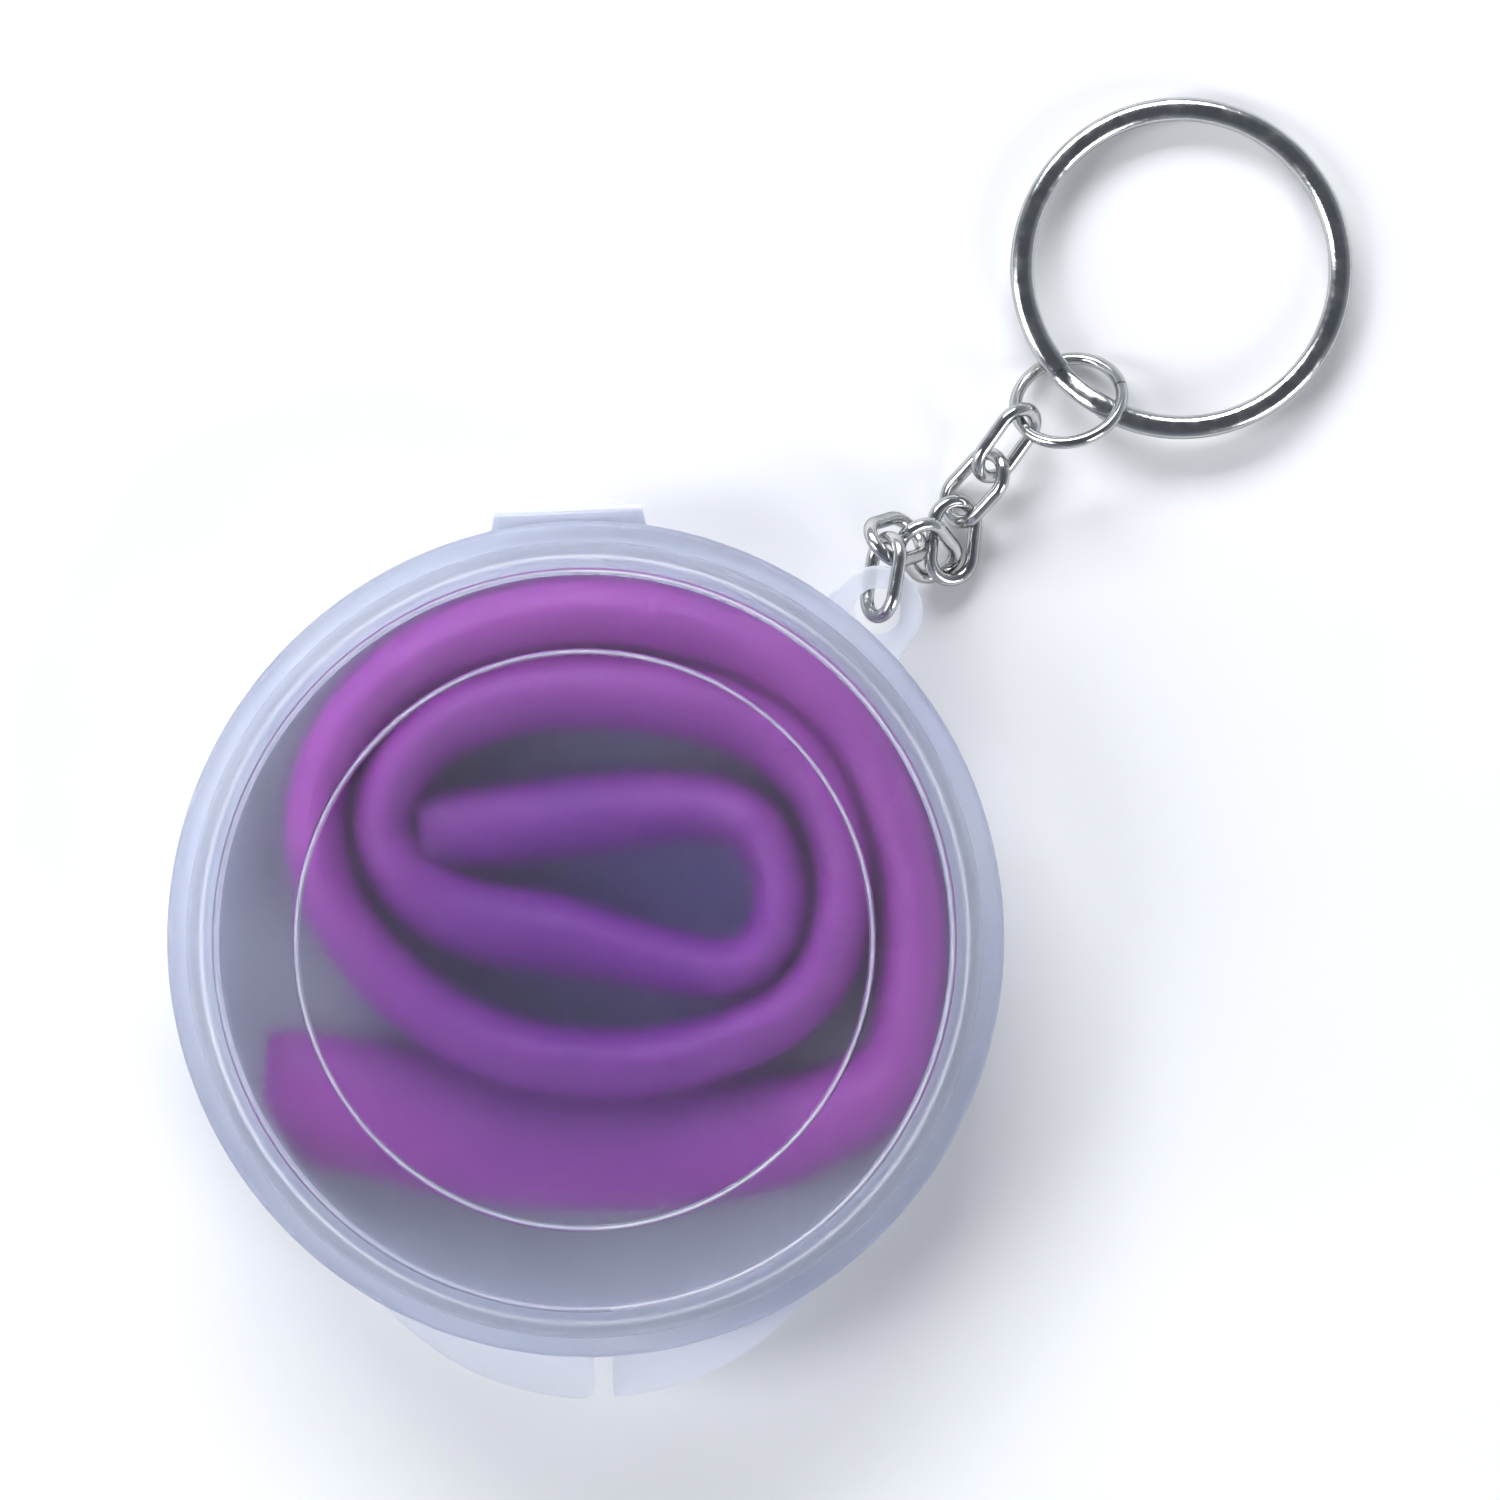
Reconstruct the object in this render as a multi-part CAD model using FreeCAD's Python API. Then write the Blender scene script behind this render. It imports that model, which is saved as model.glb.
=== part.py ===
"""A travel drinking straw in a round frosted case on a key chain.

Millimetres, +Z up. The origin is the centre of the base's bottom face, on the axis of the round case.
The hinge strap is on +Y, the thumb tabs are on -Y, and the chain lies on the table towards +X +Y.
"""
import FreeCAD, Part
import math
import os

Vector = FreeCAD.Vector
UP = Vector(0, 0, 1)

# ---- How far a cutting shape goes past what it cuts, and how close two points count as one ------
cut_through = 1.0
same_point = 1e-6

# ---- Case: two shells that meet at their flanges -------------------------------------
case_height = 16.0
parting_height = 8.0
parting_gap = 0.05
wall_radius = 28.8
flange_width = 1.6
flange_thickness = 1.2
flange_edge_round = 0.4
wall = 1.1
corner_round = 2.2
floor_thickness = 1.2
roof_thickness = 1.1
inner_corner_round = 1.2
label_radius = 20.8
label_recess = 0.25
bead_radius = 0.25
bead_rise = 0.2

# The base's lip stands up inside the lid.
lip_clearance = 0.2
lip_thickness = 0.8
lip_height = 1.6
lip_root_depth = 1.6
lip_lead_in = 0.3

# ---- Thumb tabs: one crescent, split between the lid and the base -----------------------
tab_arc_radius = 20.2
tab_reach = 3.0
tab_split = 1.3
tab_corner_round = 1.0
plate_overlap = 0.9

# ---- Lug for the chain, on the base's flange ------------------------------------------------
lug_angle = 45.9
lug_reach = 1.5
lug_radius = 3.3
lug_hole_radius = 1.7
lug_foot_half_width = 3.76
lug_edge_round = 0.3

# ---- Living hinge ------------------------------------------------------------------------
hinge_reach = 1.0
hinge_root_width = 11.9
hinge_tip_width = 10.9
strap_thickness = 0.6
film_thickness = 0.25
film_bend = 0.3
fold_room = 0.25

# ---- Straw: a soft tube, squeezed on edge in its coil and pressed flat at its outer end --------
straw_floor_gap = 0.1
coil_width = 4.2
coil_tall = 10.4
band_width = 9.4
band_tall = 5.8
straw_wall_gap = 0.4
# The fold's line is set out in points this far apart, with a section at every fifth point.
fold_spacing = 0.5
fold_step = 5
# The share of its shorter neighbouring run that each bend of a route takes.
bend_share = 0.45

# The middle line of the flat outer end, of the fold, and of the coil's two and a half turns.
BAND_ROUTE = [(-24.0, -10.6), (-16.5, -11.4), (-8.5, -14.2), (0.5, -15.4), (9.5, -15.3)]
FOLD_TURN = [(16.5, -14.0), (22.3, -11.2)]
COIL_ROUTE = [
    (23.6, -5.4), (24.2, 1.8), (22.5, 9.8), (18.9, 16.4), (12.4, 21.6), (2.0, 24.4),
    (-8.0, 22.8), (-14.8, 18.8), (-18.5, 13.6), (-19.6, 8.0), (-18.0, 2.2), (-13.4, -3.6),
    (-7.2, -7.8), (1.5, -9.6), (10.0, -8.3), (16.7, -4.6), (19.2, 2.0), (18.3, 9.0),
    (15.0, 14.0), (9.0, 17.0), (-0.5, 18.5), (-8.5, 17.0), (-13.0, 13.5), (-14.9, 9.0),
    (-13.3, 4.5), (-8.6, 1.5), (-1.5, 0.3), (6.0, -2.1), (11.6, -3.0), (14.6, 0.8),
    (14.0, 6.0), (11.2, 9.0), (6.0, 10.1), (-3.0, 9.4), (-11.8, 9.0),
]

# ---- Chain: oval links of round wire -------------------------------------------------------------
link_wire = 1.0
link_length = 6.8
link_width = 4.4
# Each link from the lug on, in degrees: heading on the table, dip below level, and roll about its length.
LINK_POSES = [(78, 1, 124), (16, 58, -20), (-52, 49, 8), (82, -6, 26), (45, -23, -34), (52, -6, 50)]
# The play at each join, between a link's far end wire and the next link's near end wire.
LINK_PLAYS = [0.3, 1.1, 0.1, 0.45, 0.65]
# From the first link's near end wire to the lug's outer edge.
first_link_reach = 3.7

# ---- Jump ring ------------------------------------------------------------------------------------
jump_wire = 0.9
jump_diameter = 8.8
jump_gap = 0.1
jump_tilt = 39.0
jump_tilt_heading = 14.0
jump_hook_angle = 186.0
jump_play = 0.15
jump_seam_angle = 100.0

# ---- Split ring: two flat turns of oval wire and the crossing between them -----------------------------
split_diameter = 25.0
strip_width = 1.65
strip_thickness = 1.0
strip_gap = 0.04
crossing_angle = 228.0
crossing_span = 21.0
crossing_steps = 6
split_tilt = 3.0
# Its strip hangs round the far side of the jump ring: the direction to its middle, in degrees, the room
# between the jump ring's wire middle and the strip, and how far the ring's middle lies below that wire.
split_heading = 60.1
split_room = 1.15
split_drop = 1.35


def rounded_path(corners, rounds, closed):
    """Straight edges between the corners, joined by tangent arcs of the given radii."""
    count = len(corners)
    starts, ends, arcs = [], [], []
    for i, corner in enumerate(corners):
        before, after = corners[i - 1], corners[(i + 1) % count]
        inner = closed or 0 < i < count - 1
        if not inner or rounds[i] == 0:
            starts.append(corner)
            ends.append(corner)
            arcs.append(None)
            continue
        into = (corner - before).normalize()
        out = (after - corner).normalize()
        turn = into.getAngle(out)
        cut = rounds[i] * math.tan(turn / 2)
        start, end = corner - into * cut, corner + out * cut
        to_centre = (out - into).normalize() * (rounds[i] / math.cos(turn / 2))
        centre = corner + to_centre
        middle = centre - to_centre.normalize() * rounds[i]
        starts.append(start)
        ends.append(end)
        arcs.append(Part.Arc(start, middle, end).toShape())
    edges = []
    for i in range(count):
        if arcs[i] is not None:
            edges.append(arcs[i])
        follower = (i + 1) % count
        if (closed or i < count - 1) and (starts[follower] - ends[i]).Length > same_point:
            edges.append(Part.LineSegment(ends[i], starts[follower]).toShape())
    return Part.Wire(edges)


def smooth(share):
    """Eases a share from 0 to 1 with a level start and end."""
    return share * share * (3 - 2 * share)


def turned(outline):
    """Revolves an outline of (radius, height, rounding) corners about the case's axis."""
    corners = [Vector(radius, 0, height) for radius, height, _ in outline]
    face = Part.Face(rounded_path(corners, [rounding for _, _, rounding in outline], True))
    return face.revolve(Vector(0, 0, 0), UP, 360)


def disc(radius, low, high, centre=(0.0, 0.0)):
    return Part.makeCylinder(radius, high - low, Vector(centre[0], centre[1], low))


def block(x_low, x_high, y_low, y_high, low, high):
    return Part.makeBox(x_high - x_low, y_high - y_low, high - low, Vector(x_low, y_low, low))


def plate(corners, low, high):
    points = [Vector(x, y, low) for x, y in corners]
    face = Part.Face(Part.makePolygon(points + points[:1]))
    return face.extrude(Vector(0, 0, high - low))


def edge_climb(edge):
    """1 for an upright edge and 0 for a level one."""
    return abs(edge.tangentAt(edge.FirstParameter).z)


def thumb_tab(side, low):
    """Half of the crescent: side is -1 for the half on -X and 1 for the half on +X."""
    high = low + flange_thickness
    centre = (0.0, -(flange_radius + tab_reach - tab_arc_radius))
    far = 2 * flange_radius
    tab = disc(tab_arc_radius, low, high, centre).cut(disc(flange_radius - plate_overlap, low, high))
    edge = side * tab_split / 2
    x_low, x_high = (edge, far) if side > 0 else (-far, edge)
    return tab.common(block(x_low, x_high, -far, -flange_radius / 2, low, high))


def round_tab_corner(tab):
    """Rounds the corner beside the split, at the tab's outer edge."""
    outer_side = -flange_radius - tab_reach / 2
    uprights = [edge for edge in tab.Edges if edge_climb(edge) > 0.99 and edge.CenterOfMass.y < outer_side]
    uprights.sort(key=lambda edge: abs(edge.CenterOfMass.x))
    return tab.makeFillet(tab_corner_round, uprights[:1])


def hinge_strap(low, high):
    """A half of the hinge strap, from inside the flange to where the thin film starts."""
    root, tip = hinge_root_width / 2, hinge_tip_width / 2
    inside = flange_radius - 2 * plate_overlap
    return plate([(-root, inside), (root, inside), (tip, film_start), (-tip, film_start)], low, high)


def lug_plate(low, high):
    """The lug, its edges rounded, still without its hole."""
    root = flange_radius - plate_overlap
    outline = plate(
        [(root, -lug_foot_half_width), (lug_distance, -lug_radius), (lug_distance, lug_radius),
         (root, lug_foot_half_width)], low, high)
    lug = outline.fuse(disc(lug_radius, low, high, (lug_distance, 0.0))).removeSplitter()
    outward = root + same_point
    outer = [edge for edge in lug.Edges if edge_climb(edge) < 0.01 and edge.CenterOfMass.x > outward]
    lug = lug.makeFillet(lug_edge_round, outer)
    lug.rotate(Vector(0, 0, 0), UP, lug_angle)
    return lug


# Heights and radii that several pieces share.
flange_radius = wall_radius + flange_width
lug_distance = flange_radius + lug_reach
wall_inside = wall_radius - wall
lip_outside = wall_inside - lip_clearance
lip_inside = lip_outside - lip_thickness
straw_reach = lip_inside - straw_wall_gap
base_flange_low = parting_height - flange_thickness
lid_low = parting_height + parting_gap
lid_flange_high = parting_height + flange_thickness
plane_top = case_height - bead_rise
foot_radius = wall_radius - corner_round
film_outer_bend = film_bend + film_thickness
hinge_tip = flange_radius + hinge_reach
film_start = hinge_tip - film_outer_bend
fold_height = parting_height + parting_gap / 2
fold_line = film_start + fold_room
lug_spot = Vector(
    lug_distance * math.cos(math.radians(lug_angle)), lug_distance * math.sin(math.radians(lug_angle)),
    parting_height - flange_thickness / 2)


def make_base_shell():
    """Floor, wall, flange and inner lip, with the lug, a thumb tab and a half of the hinge strap."""
    shell = turned([
        (0, 0, 0), (wall_radius, 0, corner_round),
        (wall_radius, base_flange_low, 0), (flange_radius, base_flange_low, flange_edge_round),
        (flange_radius, parting_height, 0), (lip_outside, parting_height, 0),
        (lip_outside, parting_height + lip_height - lip_lead_in, 0),
        (lip_outside - lip_lead_in, parting_height + lip_height, 0),
        (lip_inside, parting_height + lip_height, 0), (lip_inside, parting_height - lip_root_depth, 0),
        (wall_inside, parting_height - lip_root_depth - (wall_inside - lip_inside), 0),
        (wall_inside, floor_thickness, inner_corner_round), (0, floor_thickness, 0)])
    strap_high = fold_height - film_bend - film_thickness / 2 + strap_thickness / 2
    shell = shell.fuse([
        lug_plate(base_flange_low, parting_height), thumb_tab(1, base_flange_low),
        hinge_strap(strap_high - strap_thickness, strap_high)])
    hole_low, hole_high = base_flange_low - cut_through, parting_height + cut_through
    hole = disc(lug_hole_radius, hole_low, hole_high, (lug_spot.x, lug_spot.y))
    return shell.cut(hole).removeSplitter()


def make_lid_shell():
    """Roof, wall and flange, with two fine rings on the roof, a thumb tab and a half of the hinge strap."""
    roof_inside = plane_top - roof_thickness
    shell = turned([
        (0, roof_inside, 0), (wall_inside, roof_inside, inner_corner_round),
        (wall_inside, lid_low, 0), (flange_radius, lid_low, 0),
        (flange_radius, lid_flange_high, flange_edge_round), (wall_radius, lid_flange_high, 0),
        (wall_radius, plane_top, corner_round), (label_radius, plane_top, 0),
        (label_radius, plane_top - label_recess, 0), (0, plane_top - label_recess, 0)])
    bead_middle = Vector(0, 0, case_height - bead_radius)
    beads = [Part.makeTorus(radius, bead_radius, bead_middle) for radius in (foot_radius, label_radius)]
    strap_low = fold_height + film_bend + film_thickness / 2 - strap_thickness / 2
    tab = round_tab_corner(thumb_tab(-1, lid_low))
    return shell.fuse(beads + [tab, hinge_strap(strap_low, strap_low + strap_thickness)]).removeSplitter()


def make_living_hinge():
    """The thin film, folded in a half round from the base's strap to the lid's."""
    half = hinge_tip_width / 2
    start, along_x = Vector(-half, film_start, fold_height), Vector(1, 0, 0)
    bend = Part.makeCylinder(film_outer_bend, hinge_tip_width, start, along_x)
    bend = bend.cut(Part.makeCylinder(film_bend, hinge_tip_width, start, along_x))
    return bend.common(block(-half, half, film_start, hinge_tip + cut_through, 0, case_height))


def tube_rounds(points):
    """For each point of a route, the radius that takes the bend's share of its shorter run."""
    rounds = [0.0] * len(points)
    for i in range(1, len(points) - 1):
        into, out = points[i] - points[i - 1], points[i + 1] - points[i]
        rounds[i] = bend_share * min(into.Length, out.Length) / math.tan(into.getAngle(out) / 2)
    return rounds


def section(width, tall, place, along):
    """An oval section of the straw, across its route and standing on the floor."""
    across = UP.cross(along).normalize()
    middle = Vector(place.x, place.y, floor_thickness + straw_floor_gap + tall / 2)
    wide, high = middle + across * (width / 2), middle + UP * (tall / 2)
    oval = Part.Ellipse(high, wide, middle) if tall > width else Part.Ellipse(wide, high, middle)
    return Part.Wire([oval.toShape()])


def blended_section(share, place, along):
    """A section between the flat outer end and the coil.

    Each is made from a circle, so that all of them start at the same point.
    """
    ease = smooth(share)
    width = band_width + (coil_width - band_width) * ease
    tall = band_tall + (coil_tall - band_tall) * ease
    across = UP.cross(along).normalize() * (width / 2)
    middle = Vector(place.x, place.y, floor_thickness + straw_floor_gap + tall / 2)
    stretch = FreeCAD.Matrix(
        across.x, 0, along.x, middle.x,
        across.y, 0, along.y, middle.y,
        across.z, tall / 2, along.z, middle.z)
    return Part.Wire([Part.makeCircle(1).transformGeometry(stretch).Edges[0]])


def routed(route):
    points = [Vector(x, y, 0) for x, y in route]
    rounds = tube_rounds(points)
    print("radii", [round(radius, 1) for radius in rounds[1:-1]])
    return rounded_path(points, rounds, False)


def swept(route, width, tall):
    """A tube of one oval section along straight runs and tangent arcs."""
    path = routed(route)
    start = Vector(route[0][0], route[0][1], 0)
    along = Vector(route[1][0], route[1][1], 0) - start
    path.translate(UP * (floor_thickness + straw_floor_gap + tall / 2))
    tube = pipe(path, section(width, tall, start, along))
    print("length", round(path.Length, 1), "volume over section times length",
          round(tube.Volume / (math.pi * width * tall / 4 * path.Length), 4))
    return tube


def pipe(path, profile):
    sweep = Part.BRepOffsetAPI.MakePipeShell(path)
    sweep.setBiNormalMode(UP)
    sweep.add(profile)
    sweep.build()
    sweep.makeSolid()
    return sweep.shape()


def make_fold():
    """The straw turns from lying flat to standing on edge as it goes round the fold."""
    path = routed(BAND_ROUTE[-2:] + FOLD_TURN + COIL_ROUTE[:2])
    start = Vector(BAND_ROUTE[-1][0], BAND_ROUTE[-1][1], 0)
    end = Vector(COIL_ROUTE[0][0], COIL_ROUTE[0][1], 0)
    points = path.discretize(Distance=fold_spacing)
    inner = [point for point in points if start.x < point.x and point.y < end.y]
    inner = inner[fold_step:-fold_step:fold_step]
    places = [start] + inner + [end]
    sections = []
    for i, place in enumerate(places):
        if i == 0:
            along = start - Vector(BAND_ROUTE[-2][0], BAND_ROUTE[-2][1], 0)
        elif i == len(places) - 1:
            along = Vector(COIL_ROUTE[1][0], COIL_ROUTE[1][1], 0) - end
        else:
            along = places[i + 1] - places[i - 1]
        sections.append(blended_section(i / (len(places) - 1), place, along.normalize()))
    return Part.makeLoft(sections, True, False)


def make_silicone_straw():
    """The coil on edge, the flat outer end, and the fold that turns one into the other."""
    coil = swept(COIL_ROUTE, coil_width, coil_tall)
    band = swept(BAND_ROUTE, band_width, band_tall)
    fold = make_fold()
    straw = band.fuse([fold, coil])
    return straw.common(disc(straw_reach, 0, case_height))


def link_axes(heading, dip, roll):
    """The length direction of a link, and the direction across it in its own plane."""
    heading, dip, roll = math.radians(heading), math.radians(dip), math.radians(roll)
    along = Vector(math.cos(dip) * math.cos(heading), math.cos(dip) * math.sin(heading), -math.sin(dip))
    level = Vector(-math.sin(heading), math.cos(heading), 0)
    across = level * math.cos(roll) + along.cross(level) * math.sin(roll)
    return along, across


def placed(near_end, along, across):
    normal = along.cross(across)
    return FreeCAD.Placement(FreeCAD.Matrix(
        along.x, across.x, normal.x, near_end.x,
        along.y, across.y, normal.y, near_end.y,
        along.z, across.z, normal.z, near_end.z))


def make_link():
    """An oval link with its near end wire at the origin and its length along +X."""
    bend = (link_width - link_wire) / 2
    far = link_length - link_wire
    corners = [
        Vector(far / 2, -bend, 0), Vector(far, -bend, 0), Vector(far, bend, 0),
        Vector(0, bend, 0), Vector(0, -bend, 0)]
    path = rounded_path(corners, [0, bend, bend, bend, bend], True)
    profile = Part.Wire([Part.makeCircle(link_wire / 2, corners[0], Vector(1, 0, 0))])
    return pipe(path, profile)


def chain_places():
    """Near end, far end, length direction and cross direction of each link at rest."""
    places = []
    along, across = link_axes(*LINK_POSES[0])
    level = Vector(along.x, along.y, 0).normalize()
    near = lug_spot + level * lug_radius - along * first_link_reach
    span = link_length - link_wire
    places.append((near, near + along * span, along, across))
    for pose, play in zip(LINK_POSES[1:], LINK_PLAYS):
        parent_far, parent_along, parent_across = places[-1][1:]
        along, across = link_axes(*pose)
        pull = parent_across.cross(across).normalize()
        if pull.dot(parent_along + along) < 0:
            pull = -pull
        near = parent_far - pull * (link_wire + play)
        places.append((near, near + along * span, along, across))
    return places


def jump_ring_frame(link):
    """The ring's middle, its level axis and the axis up its slope, as it hangs on the last link."""
    far_end, along, across = link[1:]
    level = Vector(math.cos(math.radians(jump_tilt_heading)), math.sin(math.radians(jump_tilt_heading)), 0)
    normal = FreeCAD.Rotation(level, -jump_tilt).multVec(UP)
    slope = normal.cross(level)
    angle = math.radians(jump_hook_angle)
    spoke = level * math.cos(angle) + slope * math.sin(angle)
    pull = across.cross(normal.cross(spoke)).normalize()
    if pull.dot(along) < 0:
        pull = -pull
    hook = far_end - pull * ((link_wire + jump_wire) / 2 + jump_play)
    return hook - spoke * ((jump_diameter - jump_wire) / 2), level, slope


def make_jump_ring():
    """A ring of round wire whose ends almost meet, in its own plane about the origin."""
    middle = (jump_diameter - jump_wire) / 2
    wire = Part.Face(Part.Wire([Part.makeCircle(jump_wire / 2, Vector(middle, 0, 0), Vector(0, 1, 0))]))
    opening = math.degrees(jump_gap / middle)
    ring = wire.revolve(Vector(0, 0, 0), UP, 360 - opening)
    ring.rotate(Vector(0, 0, 0), UP, jump_seam_angle + opening / 2)
    return ring


def strip_outline(angle, height):
    """The split ring's oval wire, cut across at an angle round the ring."""
    middle = Vector((split_diameter - strip_width) / 2, 0, height)
    wide, high = middle + Vector(strip_width / 2, 0, 0), middle + Vector(0, 0, strip_thickness / 2)
    outline = Part.Wire([Part.Ellipse(wide, high, middle).toShape()])
    outline.rotate(Vector(0, 0, 0), UP, angle)
    return outline


def make_split_ring():
    """Two flat turns, one on the other, and the crossing that climbs from the lower to the upper."""
    layer = (strip_thickness + strip_gap) / 2
    first, last = crossing_angle - crossing_span / 2, crossing_angle + crossing_span / 2
    turns = [
        Part.Face(strip_outline(last, height)).revolve(Vector(0, 0, 0), UP, 360 - crossing_span)
        for height in (-layer, layer)
    ]
    climb = []
    for i in range(crossing_steps + 1):
        share = i / crossing_steps
        climb.append(strip_outline(first + crossing_span * share, layer * (2 * smooth(share) - 1)))
    return turns[0].fuse([Part.makeLoft(climb, True, False), turns[1]])


def split_ring_placement(link):
    """Where the split ring lies, threaded on the far side of the jump ring that hangs on this link."""
    middle, level, _ = jump_ring_frame(link)
    hook = middle + level * ((jump_diameter - jump_wire) / 2)
    heading = math.radians(split_heading)
    reach = split_diameter / 2 - strip_width - split_room
    centre = hook + Vector(reach * math.cos(heading), reach * math.sin(heading), -split_drop)
    near = Vector(math.cos(math.radians(crossing_angle)), math.sin(math.radians(crossing_angle)), 0)
    return FreeCAD.Placement(centre, FreeCAD.Rotation(near.cross(UP), split_tilt))


def make_chain():
    """The six links, the jump ring and the split ring, each where it lies."""
    chain = {}
    places = chain_places()
    for i, (near, _, along, across) in enumerate(places):
        link = make_link()
        link.Placement = placed(near, along, across)
        chain["chain_link_%d" % (i + 1)] = link
    middle, level, slope = jump_ring_frame(places[-1])
    jump_ring = make_jump_ring()
    jump_ring.Placement = placed(middle, level, slope)
    chain["jump_ring"] = jump_ring
    split_ring = make_split_ring()
    split_ring.Placement = split_ring_placement(places[-1])
    chain["split_ring"] = split_ring
    return chain


def main():
    pieces = {
        "base_shell": make_base_shell(),
        "lid_shell": make_lid_shell(),
        "living_hinge": make_living_hinge(),
        "silicone_straw": make_silicone_straw(),
    }
    pieces.update(make_chain())
    os.makedirs("parts", exist_ok=True)
    for name, shape in pieces.items():
        print(name, "solids", len(shape.Solids), "volume", round(shape.Volume, 1), "valid", shape.isValid())
        shape.exportStep(os.path.join("parts", name + ".step"))


main()
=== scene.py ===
"""The looks of the straw case keychain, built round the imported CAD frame.

Metres, in the part's own frame: the origin is the centre of the case's flat underside, +Z is up,
+Y is towards the hinge, and the chain lies on the table towards +X +Y.
"""
import math

import bpy
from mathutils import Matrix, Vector


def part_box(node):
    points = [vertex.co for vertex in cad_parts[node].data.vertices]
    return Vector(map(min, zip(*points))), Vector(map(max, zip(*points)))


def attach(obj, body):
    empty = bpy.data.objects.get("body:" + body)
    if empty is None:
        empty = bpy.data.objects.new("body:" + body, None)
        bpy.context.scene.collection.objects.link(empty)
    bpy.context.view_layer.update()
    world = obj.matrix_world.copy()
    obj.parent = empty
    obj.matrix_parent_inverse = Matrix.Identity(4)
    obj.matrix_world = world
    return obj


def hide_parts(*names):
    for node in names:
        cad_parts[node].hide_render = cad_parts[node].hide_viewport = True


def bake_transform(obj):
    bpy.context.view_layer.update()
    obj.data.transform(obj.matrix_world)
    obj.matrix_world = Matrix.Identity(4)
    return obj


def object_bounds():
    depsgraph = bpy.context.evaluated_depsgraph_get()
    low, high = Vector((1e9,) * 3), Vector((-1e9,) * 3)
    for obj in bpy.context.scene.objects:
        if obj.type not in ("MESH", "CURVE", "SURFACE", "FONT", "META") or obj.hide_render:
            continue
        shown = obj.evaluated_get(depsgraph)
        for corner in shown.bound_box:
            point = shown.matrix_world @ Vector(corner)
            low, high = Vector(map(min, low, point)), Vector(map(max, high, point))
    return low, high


MM = 0.001
UP = Vector((0, 0, 1))

# ---- Straw ------------------------------------------------------------------------------------------
# Each station: x, y, then the soft tube's width and height, in millimetres, and how far it leans
# over towards the middle of the coil, in degrees. It starts at the flat outer end.
STRAW = [
    (-24.0, -10.6, 9.8, 5.4, 0), (-16.5, -11.4, 10.0, 5.4, 0), (-8.5, -14.2, 9.7, 5.6, 0),
    (0.5, -15.4, 9.4, 5.8, 0), (9.5, -15.3, 8.4, 6.4, 0), (16.5, -14.0, 6.8, 7.8, 0),
    (22.3, -11.2, 5.4, 9.2, 0), (23.6, -5.4, 5.0, 10.0, 0), (24.2, 1.8, 4.9, 10.2, 0),
    (22.5, 9.8, 5.0, 10.2, 0), (18.9, 16.4, 5.4, 10.0, 0), (12.4, 21.6, 5.7, 9.8, 0),
    (2.0, 24.4, 5.8, 9.7, 0), (-8.0, 22.8, 5.7, 9.8, 0), (-14.8, 18.8, 5.0, 10.1, 0),
    (-18.5, 13.6, 4.7, 10.3, 0), (-19.6, 8.0, 4.6, 10.4, 0), (-18.0, 2.2, 4.7, 10.3, 0),
    (-13.4, -3.6, 4.9, 10.2, 0), (-7.2, -7.8, 5.1, 10.1, 2), (1.5, -9.6, 5.2, 10.0, 3),
    (10.0, -8.3, 5.0, 10.1, 2), (16.7, -4.6, 4.7, 10.3, 0), (19.2, 2.0, 4.6, 10.4, 0),
    (18.3, 9.0, 4.8, 10.3, 0), (15.0, 14.0, 5.4, 10.0, 0), (9.0, 17.0, 5.8, 9.7, 0),
    (-0.5, 18.5, 5.9, 9.6, 0), (-8.5, 17.0, 5.6, 9.8, 0), (-13.0, 13.5, 4.7, 10.3, 0),
    (-14.9, 9.0, 4.5, 10.4, 0), (-13.3, 4.5, 4.8, 10.2, 4), (-8.6, 1.5, 5.9, 9.7, 4),
    (-1.5, 0.3, 6.0, 9.6, 6), (6.0, -2.1, 5.0, 10.0, 4), (11.6, -3.0, 4.5, 10.3, 0),
    (14.6, 0.8, 4.2, 10.5, 0), (14.0, 6.0, 4.2, 10.5, 0), (11.2, 9.0, 4.6, 10.3, 0),
    (6.0, 9.5, 5.2, 9.2, 0), (-3.0, 8.7, 6.0, 8.4, 0), (-11.8, 8.1, 6.2, 8.2, 0),
]
STRAW_WALL = 1.2 * MM
STRAW_REACH = 26.2 * MM
STRAW_FLOOR_GAP = 0.1 * MM
RING_POINTS = 44
SPLINE_STEPS = 10
# Only this first share of the straw, its flat outer end, is cut back to the wall.
CUT_SHARE = 0.1

# ---- Living hinge ---------------------------------------------------------------------------------
FILM_STEPS = 24
FILM_THICKNESS = 0.25 * MM

# ---- Fine rings on the lid ----------------------------------------------------------------------
BEAD_RINGS = (26.6 * MM, 20.8 * MM)
BEAD_RADIUS = 0.12 * MM
BEAD_STEPS = 256
BEAD_SIDES = 10

# ---- Camera, floor and light --------------------------------------------------------------------
# The lens and the sensor are in millimetres, and the turn is in degrees.
VIEW_MIDDLE = Vector((12.5 * MM, 13.2 * MM, 0))
VIEW_WIDTH = 110.0 * MM
VIEW_TURN = -2.4
LENS = 300.0
SENSOR = 36.0
FLOOR_REACH = 3.0
# Each light: its name, its place from the view's middle, its width and depth, its watts and its colour.
SOFTBOXES = (
    ("key", (-0.15, 0.8, 0.6), (0.9, 0.35), 11.0, (0.94, 0.96, 1.0)),
    ("left", (-0.8, -0.1, 0.55), (0.35, 0.7), 6.2, (0.94, 0.96, 1.0)),
    ("fill", (0.6, -0.6, 0.5), (0.4, 0.4), 3.5, (1, 1, 1)),
)
# World brightness at the horizon and overhead.
WORLD_LEVELS = (0.5, 0.14)


# ==== Materials =============================================================================
def material(name):
    made = bpy.data.materials.new(name)
    made.use_nodes = True
    return made, made.node_tree, made.node_tree.nodes["Principled BSDF"]


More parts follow.
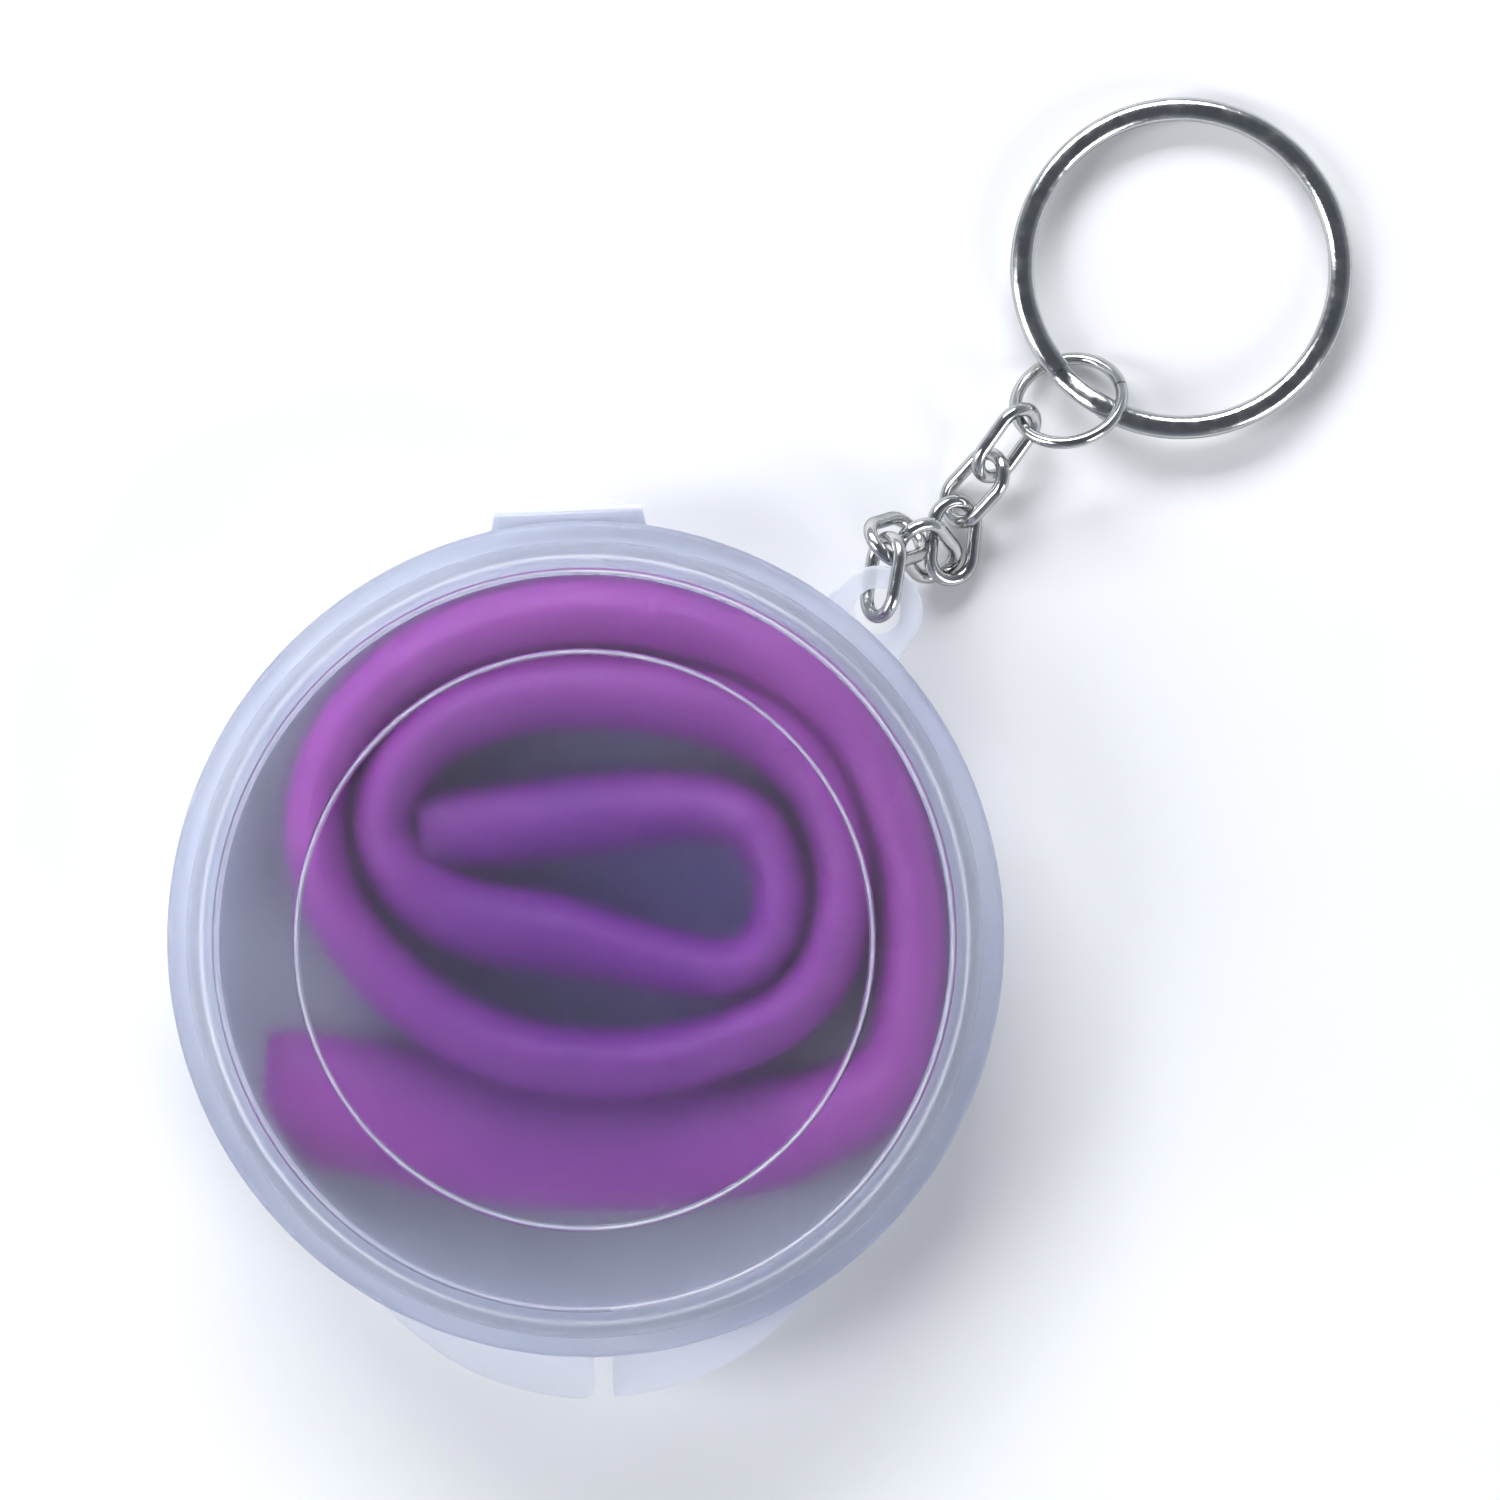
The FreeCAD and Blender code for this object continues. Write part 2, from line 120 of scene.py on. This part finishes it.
def place(tree):
    """Coordinates in metres, in the part's frame."""
    return tree.nodes.new("ShaderNodeTexCoord").outputs["Object"]


def noise(tree, size, detail=3.0):
    """A noise whose features are about this large, in metres."""
    node = tree.nodes.new("ShaderNodeTexNoise")
    node.inputs["Scale"].default_value = 1 / size
    node.inputs["Detail"].default_value = detail
    node.inputs["Roughness"].default_value = 0.55
    tree.links.new(place(tree), node.inputs["Vector"])
    return node.outputs["Fac"]


def ramp(tree, source, low, high, start=0.35, end=0.65):
    node = tree.nodes.new("ShaderNodeMapRange")
    node.inputs["From Min"].default_value = start
    node.inputs["From Max"].default_value = end
    node.inputs["To Min"].default_value = low
    node.inputs["To Max"].default_value = high
    tree.links.new(source, node.inputs["Value"])
    return node.outputs["Result"]


def tint(tree, source, first, second):
    node = tree.nodes.new("ShaderNodeMix")
    node.data_type = "RGBA"
    node.inputs["A"].default_value = (*first, 1)
    node.inputs["B"].default_value = (*second, 1)
    tree.links.new(source, node.inputs["Factor"])
    return node.outputs["Result"]


def reach(tree, near, far):
    """0 nearer to the case's middle than the first distance, 1 beyond the second."""
    node = tree.nodes.new("ShaderNodeVectorMath")
    node.operation = "LENGTH"
    tree.links.new(place(tree), node.inputs[0])
    return ramp(tree, node.outputs["Value"], 0, 1, near, far)


def blend_tints(tree, source, first, second):
    """Mixes two colours that are already made in the tree."""
    node = tree.nodes.new("ShaderNodeMix")
    node.data_type = "RGBA"
    tree.links.new(first, node.inputs["A"])
    tree.links.new(second, node.inputs["B"])
    tree.links.new(source, node.inputs["Factor"])
    return node.outputs["Result"]


def bump(tree, source, depth, under=None):
    node = tree.nodes.new("ShaderNodeBump")
    node.inputs["Distance"].default_value = depth
    node.inputs["Strength"].default_value = 1.0
    tree.links.new(source, node.inputs["Height"])
    if under is not None:
        tree.links.new(under, node.inputs["Normal"])
    return node.outputs["Normal"]


def frosted_plastic(name, clearness, painted_shade_tints):
    """Translucent polypropylene with a satin moulded skin and a breath of lavender.

    The shade tints are those of the middle of the moulding, darker and bluer there: painted shade over the
    coil's hollow and the gaps between its turns.
    """
    made, tree, shader = material(name)
    shader.inputs["Transmission Weight"].default_value = clearness
    shader.inputs["Roughness"].default_value = 0.34
    shader.inputs["IOR"].default_value = 1.22
    cloud = ramp(tree, noise(tree, 9 * MM), 0, 1)
    rim = tint(tree, cloud, (0.89, 0.91, 0.985), (0.92, 0.94, 0.995))
    # Painted shade: the colour darkens from the rim tints to the shade tints towards the case's middle.
    colour = blend_tints(tree, reach(tree, 11 * MM, 19 * MM), tint(tree, cloud, *painted_shade_tints), rim)
    tree.links.new(colour, shader.inputs["Base Color"])
    skin = bump(tree, noise(tree, 0.35 * MM, 2), 0.012 * MM)
    flow = bump(tree, noise(tree, 7 * MM, 1), 0.05 * MM, skin)
    tree.links.new(flow, shader.inputs["Normal"])
    return made


def bead_finish():
    """The fine raised rings on the lid, with a whiter, less clear skin: a painted highlight for the glint
    along each bead.
    """
    made, tree, shader = material("painted_glint_bead")
    shader.inputs["Transmission Weight"].default_value = 0.5
    shader.inputs["Roughness"].default_value = 0.35
    shader.inputs["IOR"].default_value = 1.3
    # Painted highlight: these pale tints stand in for the glint along the bead.
    glint_mottle = ramp(tree, noise(tree, 2.5 * MM, 3), 0, 1)
    tree.links.new(tint(tree, glint_mottle, (0.84, 0.83, 0.93), (0.93, 0.92, 0.97)), shader.inputs["Base Color"])
    tree.links.new(bump(tree, noise(tree, 0.3 * MM, 2), 0.01 * MM), shader.inputs["Normal"])
    return made


def silicone():
    """Soft purple silicone: matt, a little milky, with fine bloom and handling dust; its inner turns are
    painted darker, as painted shade.
    """
    made, tree, shader = material("purple_silicone")
    bloom = ramp(tree, noise(tree, 4 * MM, 4), 0, 1)
    # Painted shade: the turns nearer the coil's middle are painted darker and deeper purple.
    painted_shade_deep = tint(tree, bloom, (0.22, 0.012, 0.33), (0.25, 0.016, 0.36))
    milky = tint(tree, bloom, (0.39, 0.058, 0.40), (0.44, 0.076, 0.44))
    colour = blend_tints(tree, reach(tree, 13 * MM, 25 * MM), painted_shade_deep, milky)
    tree.links.new(colour, shader.inputs["Base Color"])
    tree.links.new(ramp(tree, noise(tree, 1.2 * MM, 4), 0.42, 0.56), shader.inputs["Roughness"])
    shader.inputs["Subsurface Weight"].default_value = 0.6
    shader.inputs["Subsurface Radius"].default_value = (1.0, 0.35, 1.2)
    shader.inputs["Subsurface Scale"].default_value = 2.0 * MM
    grain = bump(tree, noise(tree, 0.12 * MM, 2), 0.004 * MM)
    waves = bump(tree, noise(tree, 3 * MM, 2), 0.04 * MM, grain)
    tree.links.new(waves, shader.inputs["Normal"])
    return made


def nickel():
    """Bright nickel plate with tumbling marks, fine rubs and duller patches."""
    made, tree, shader = material("nickel_plate")
    shader.inputs["Metallic"].default_value = 1.0
    shader.inputs["Specular Tint"].default_value = (0.45, 0.46, 0.47, 1)
    patches = ramp(tree, noise(tree, 2.2 * MM, 4), 0, 1)
    tree.links.new(tint(tree, patches, (0.52, 0.53, 0.52), (0.64, 0.64, 0.62)), shader.inputs["Base Color"])
    tree.links.new(ramp(tree, noise(tree, 0.9 * MM, 5), 0.1, 0.24), shader.inputs["Roughness"])
    rubs = bump(tree, noise(tree, 0.18 * MM, 3), 0.004 * MM)
    dents = bump(tree, noise(tree, 1.1 * MM, 2), 0.02 * MM, rubs)
    tree.links.new(dents, shader.inputs["Normal"])
    return made


def paper_floor():
    made, tree, shader = material("pale_floor")
    fibre = ramp(tree, noise(tree, 30 * MM, 3), 0, 1)
    tree.links.new(tint(tree, fibre, (0.86, 0.86, 0.86), (0.88, 0.88, 0.88)), shader.inputs["Base Color"])
    shader.inputs["Roughness"].default_value = 0.7
    return made


# ==== Meshes ===================================================================================
def mesh_object(name, points, faces, finish, smooth=True):
    mesh = bpy.data.meshes.new(name)
    mesh.from_pydata([tuple(point) for point in points], [], faces)
    mesh.validate()
    mesh.update()
    mesh.materials.append(finish)
    for polygon in mesh.polygons:
        polygon.use_smooth = smooth
    made = bpy.data.objects.new(name, mesh)
    bpy.context.scene.collection.objects.link(made)
    return made


def spline_points(route):
    """Points along one smooth curve whose control points are the route."""
    curve = bpy.data.curves.new("route", "CURVE")
    curve.dimensions = "3D"
    curve.resolution_u = SPLINE_STEPS
    spline = curve.splines.new("NURBS")
    spline.points.add(len(route) - 1)
    for point, (x, y) in zip(spline.points, route):
        point.co = (x, y, 0, 1)
    spline.order_u = 3
    spline.use_endpoint_u = True
    holder = bpy.data.objects.new("route", curve)
    line = bpy.data.meshes.new_from_object(holder)
    points = [vertex.co.copy() for vertex in line.vertices]
    bpy.data.objects.remove(holder)
    bpy.data.curves.remove(curve)
    bpy.data.meshes.remove(line)
    return points


def eased(values, share):
    """A value part of the way through a list, eased from each entry to the next."""
    where = share * (len(values) - 1)
    i = min(int(where), len(values) - 2)
    step = where - i
    return values[i] + (values[i + 1] - values[i]) * step * step * (3 - 2 * step)


def cut_to_case(point, along, near_end):
    """Slides a point of the flat outer end along the straw until it is inside the case's wall."""
    flat = Vector((point.x, point.y, 0))
    if flat.length <= STRAW_REACH or not near_end:
        return point
    pace = flat.dot(along)
    room = math.sqrt(max(pace * pace - flat.length_squared + STRAW_REACH ** 2, 0))
    return point + along * min((-pace - room, -pace + room), key=abs)


def tube_faces(rings):
    """Quads of a double-skinned tube whose points go ring by ring, first the outer skin, then the inner."""
    inner = rings * RING_POINTS
    faces = []
    for skin in (0, 1):
        for i in range(rings - 1):
            for k in range(RING_POINTS):
                a = skin * inner + i * RING_POINTS + k
                b = skin * inner + i * RING_POINTS + (k + 1) % RING_POINTS
                quad = (a, b, b + RING_POINTS, a + RING_POINTS)
                faces.append(quad if skin else quad[::-1])
    for i, flip in ((0, False), (rings - 1, True)):
        for k in range(RING_POINTS):
            a = i * RING_POINTS + k
            b = i * RING_POINTS + (k + 1) % RING_POINTS
            quad = (a, b, b + inner, a + inner)
            faces.append(quad if flip else quad[::-1])
    return faces


def straw_mesh(floor):
    """Outer and inner skins of the soft tube, joined by a flat rim at each open end."""
    line = spline_points([(x * MM, y * MM) for x, y, _, _, _ in STRAW])
    widths, heights, leans = ([station[i] for station in STRAW] for i in (2, 3, 4))
    last = len(line) - 1
    skins = ([], [])
    for i, spot in enumerate(line):
        share = i / last
        along = (line[min(i + 1, last)] - line[max(i - 1, 0)]).normalized()
        side = UP.cross(along)
        wide = eased(widths, share) * MM / 2
        tall = eased(heights, share) * MM / 2
        lean = math.radians(eased(leans, share))
        across = side * math.cos(lean) - UP * math.sin(lean)
        rise = UP * math.cos(lean) + side * math.sin(lean)
        half = math.hypot(tall * math.cos(lean), wide * math.sin(lean))
        middle = Vector((spot.x, spot.y, floor + STRAW_FLOOR_GAP + half))
        for skin, wall in zip(skins, (0, STRAW_WALL)):
            for k in range(RING_POINTS):
                turn = 2 * math.pi * k / RING_POINTS
                out = across * ((wide - wall) * math.cos(turn))
                up = rise * ((tall - wall) * math.sin(turn))
                skin.append(cut_to_case(middle + out + up, along, share < CUT_SHARE))
    return skins[0] + skins[1], tube_faces(len(line))


def make_straw(finish):
    low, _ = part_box("silicone_straw")
    points, faces = straw_mesh(low.z - STRAW_FLOOR_GAP)
    straw = mesh_object("soft_straw", points, faces, finish)
    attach(straw, "base")
    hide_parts("silicone_straw")
    return straw


def make_hinge_film(finish):
    """The thin web between the two straps: half a turn of film, wide as the straps' tips."""
    low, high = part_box("living_hinge")
    outer = (high.z - low.z) / 2
    centre = Vector((0, low.y, (low.z + high.z) / 2))
    points, faces = [], []
    for i in range(FILM_STEPS + 1):
        turn = -math.pi / 2 + math.pi * i / FILM_STEPS
        for radius in (outer, outer - FILM_THICKNESS):
            for x in (low.x, high.x):
                spot = centre + Vector((0, math.cos(turn), math.sin(turn))) * radius
                points.append(Vector((x, spot.y, spot.z)))
    for i in range(FILM_STEPS):
        a = 4 * i
        b = a + 4
        faces += [(a, a + 1, b + 1, b), (a + 3, a + 2, b + 2, b + 3)]
        faces += [(a + 2, a, b, b + 2), (a + 1, a + 3, b + 3, b + 1)]
    end = 4 * FILM_STEPS
    faces += [(0, 2, 3, 1), (end, end + 1, end + 3, end + 2)]
    web = mesh_object("hinge_film", points, faces, finish, smooth=False)
    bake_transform(web)
    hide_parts("living_hinge")
    return web


def make_lid_beads(finish):
    """The two fine rings on the lid's roof: a bright ridge along the top of each moulded bead, its
    brightness a painted highlight.
    """
    _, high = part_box("lid_shell")
    points, faces = [], []
    for radius in BEAD_RINGS:
        first = len(points)
        for i in range(BEAD_STEPS):
            turn = 2 * math.pi * i / BEAD_STEPS
            out = Vector((math.cos(turn), math.sin(turn), 0))
            for k in range(BEAD_SIDES):
                tilt = 2 * math.pi * k / BEAD_SIDES
                points.append(out * (radius + BEAD_RADIUS * math.cos(tilt))
                              + UP * (high.z - BEAD_RADIUS + BEAD_RADIUS * math.sin(tilt)))
        for i in range(BEAD_STEPS):
            for k in range(BEAD_SIDES):
                a = first + i * BEAD_SIDES + k
                b = first + i * BEAD_SIDES + (k + 1) % BEAD_SIDES
                c = first + (i + 1) % BEAD_STEPS * BEAD_SIDES
                faces.append((a, c + k, c + (k + 1) % BEAD_SIDES, b))
    beads = mesh_object("lid_beads", points, faces, finish)
    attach(beads, "lid")
    return beads


def dress(node, finish):
    """Gives a CAD node its finished material."""
    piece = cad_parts[node]
    for slot in piece.material_slots:
        slot.material = finish


# ==== Studio =====================================================================================
def make_floor(height):
    signs = ((-1, -1), (1, -1), (1, 1), (-1, 1))
    corners = [(x * FLOOR_REACH, y * FLOOR_REACH, height) for x, y in signs]
    floor = mesh_object("floor", corners, [(0, 1, 2, 3)], paper_floor(), smooth=False)


def softbox(name, spot, aim, size, power, colour):
    data = bpy.data.lights.new(name, "AREA")
    data.shape = "RECTANGLE"
    data.size, data.size_y = size
    data.energy = power
    data.color = colour
    box = bpy.data.objects.new(name, data)
    box.location = spot
    box.rotation_euler = (aim - spot).to_track_quat("-Z", "Y").to_euler()
    bpy.context.scene.collection.objects.link(box)


def make_lights(centre):
    world = bpy.data.worlds.new("studio")
    world.use_nodes = True
    tree = world.node_tree
    sky = tree.nodes.new("ShaderNodeTexCoord")
    split = tree.nodes.new("ShaderNodeSeparateXYZ")
    tree.links.new(sky.outputs["Generated"], split.inputs["Vector"])
    level = ramp(tree, split.outputs["Z"], *WORLD_LEVELS, start=0.15, end=0.85)
    backdrop = tree.nodes["Background"]
    backdrop.inputs["Color"].default_value = (0.78, 0.84, 1.0, 1)
    tree.links.new(level, backdrop.inputs["Strength"])
    bpy.context.scene.world = world
    for name, offset, size, power, colour in SOFTBOXES:
        softbox(name, centre + Vector(offset), centre, size, power, colour)


def make_camera(height):
    """Straight down, through a long lens, on the middle of the case and its chain."""
    middle = Vector((VIEW_MIDDLE.x, VIEW_MIDDLE.y, height))
    data = bpy.data.cameras.new("camera")
    data.lens = LENS
    data.sensor_width = SENSOR
    data.clip_start = 0.01
    camera = bpy.data.objects.new("camera", data)
    camera.location = middle + UP * (VIEW_WIDTH * LENS / SENSOR)
    camera.rotation_euler = (0, 0, math.radians(VIEW_TURN))
    bpy.context.scene.collection.objects.link(camera)
    bpy.context.scene.camera = camera


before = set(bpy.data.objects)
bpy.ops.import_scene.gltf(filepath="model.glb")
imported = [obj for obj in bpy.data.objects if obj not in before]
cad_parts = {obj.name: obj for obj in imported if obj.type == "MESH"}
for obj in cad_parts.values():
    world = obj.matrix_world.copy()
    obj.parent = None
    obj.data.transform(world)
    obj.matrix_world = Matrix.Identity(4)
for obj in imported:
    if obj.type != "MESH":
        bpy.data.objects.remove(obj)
cad_low, cad_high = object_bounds()
bpy.context.scene.view_settings.view_transform = "Standard"

# The second pair of tints in each call is painted shade for the case's middle.
lid_finish = frosted_plastic("frosted_lid", 0.98, ((0.82, 0.79, 0.95), (0.85, 0.82, 0.96)))
base_finish = frosted_plastic("frosted_base", 0.52, ((0.50, 0.42, 0.90), (0.55, 0.47, 0.93)))
metal_finish = nickel()
dress("base_shell", base_finish)
dress("lid_shell", lid_finish)
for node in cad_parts:
    if node.startswith("chain_link") or node.endswith("_ring"):
        dress(node, metal_finish)
make_straw(silicone())
make_hinge_film(lid_finish)
make_lid_beads(bead_finish())

floor_height = min(cad_low.z, 0.0)
make_floor(floor_height)
make_camera(cad_low.z)
make_lights(VIEW_MIDDLE)
